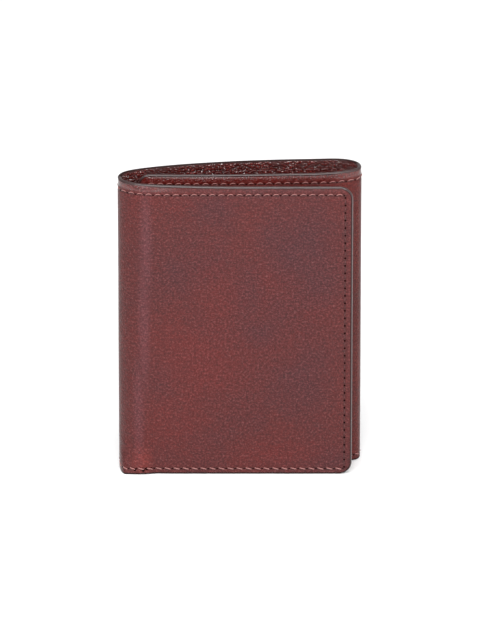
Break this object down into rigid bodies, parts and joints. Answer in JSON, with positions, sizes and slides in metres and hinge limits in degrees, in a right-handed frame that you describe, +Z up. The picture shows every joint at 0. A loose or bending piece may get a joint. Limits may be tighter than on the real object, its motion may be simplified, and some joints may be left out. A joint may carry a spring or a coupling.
{
  "type": "trifold wallet",
  "caption": "Leather trifold wallet, closed and upright, with hinged flaps, note compartment, card pockets and a window pocket.",
  "frame": {"origin": "centre of the closed wallet's bounding box, at the level it stands on", "axes": "+Z up along the fold lines, +X towards the right fold, -Y out of the front flap's face"},
  "size_m": [0.0826, 0.0234, 0.108],
  "materials": {
    "outer_leather": "smooth antiqued burgundy calf, satin, dark dressed edge",
    "lining": "glazed pebble-grain dark maroon lining",
    "pocket_leather": "fine-grained burgundy pocket leather, satin",
    "thread": "tonal sewing thread",
    "window_film": "clear flexible film"
  },
  "bodies": {
    "back_panel": {"back_outer_leather": "outer_leather", "back_lining": "lining", "back_bill_divider": "pocket_leather", "back_card_pocket_upper": "pocket_leather", "back_card_pocket_lower": "pocket_leather", "back_stitching_top": "thread", "back_stitching_bottom": "thread"},
    "left_fold": {"left_fold_outer_leather": "outer_leather", "left_fold_lining": "lining", "left_fold_bill_divider": "pocket_leather", "left_fold_stitching_top": "thread", "left_fold_stitching_bottom": "thread"},
    "front_flap": {"front_outer_leather": "outer_leather", "front_lining": "lining", "front_bill_divider": "pocket_leather", "front_card_pocket_upper": "pocket_leather", "front_card_pocket_middle": "pocket_leather", "front_card_pocket_lower": "pocket_leather", "front_edge_stitching": "thread"},
    "right_fold": {"right_fold_outer_leather": "outer_leather", "right_fold_lining": "lining", "right_fold_stitching_top": "thread", "right_fold_stitching_bottom": "thread"},
    "inner_flap": {"inner_outer_leather": "outer_leather", "inner_lining": "lining", "id_window_frame": "pocket_leather", "id_window_film": "window_film", "id_window_stitching": "thread", "inner_edge_stitching": "thread"}
  },
  "joints": [
    {"name": "front_flap_opening", "type": "hinge", "parent": "back_panel", "child": "left_fold", "pos_m": [-0.04045, 0.0005, 0.054], "axis": [0, 0, -1], "range_deg": [0, 90]},
    {"name": "front_flap_crease", "type": "hinge", "parent": "left_fold", "child": "front_flap", "pos_m": [-0.04001, -0.00825, 0.054], "axis": [0, 0, -1], "range_deg": [0, 90]},
    {"name": "inner_flap_opening", "type": "hinge", "parent": "back_panel", "child": "right_fold", "pos_m": [0.03996, 0.00899, 0.054], "axis": [0, 0, 1], "range_deg": [0, 90]},
    {"name": "inner_flap_crease", "type": "hinge", "parent": "right_fold", "child": "inner_flap", "pos_m": [0.04056, 0.00097, 0.054], "axis": [0, 0, 1], "range_deg": [0, 90]}
  ],
  "couplings": [
    {"joint": "front_flap_crease", "follows": "front_flap_opening", "ratio": 1},
    {"joint": "inner_flap_opening", "follows": "front_flap_opening", "ratio": 0.28},
    {"joint": "inner_flap_crease", "follows": "front_flap_opening", "ratio": 0.28}
  ]
}
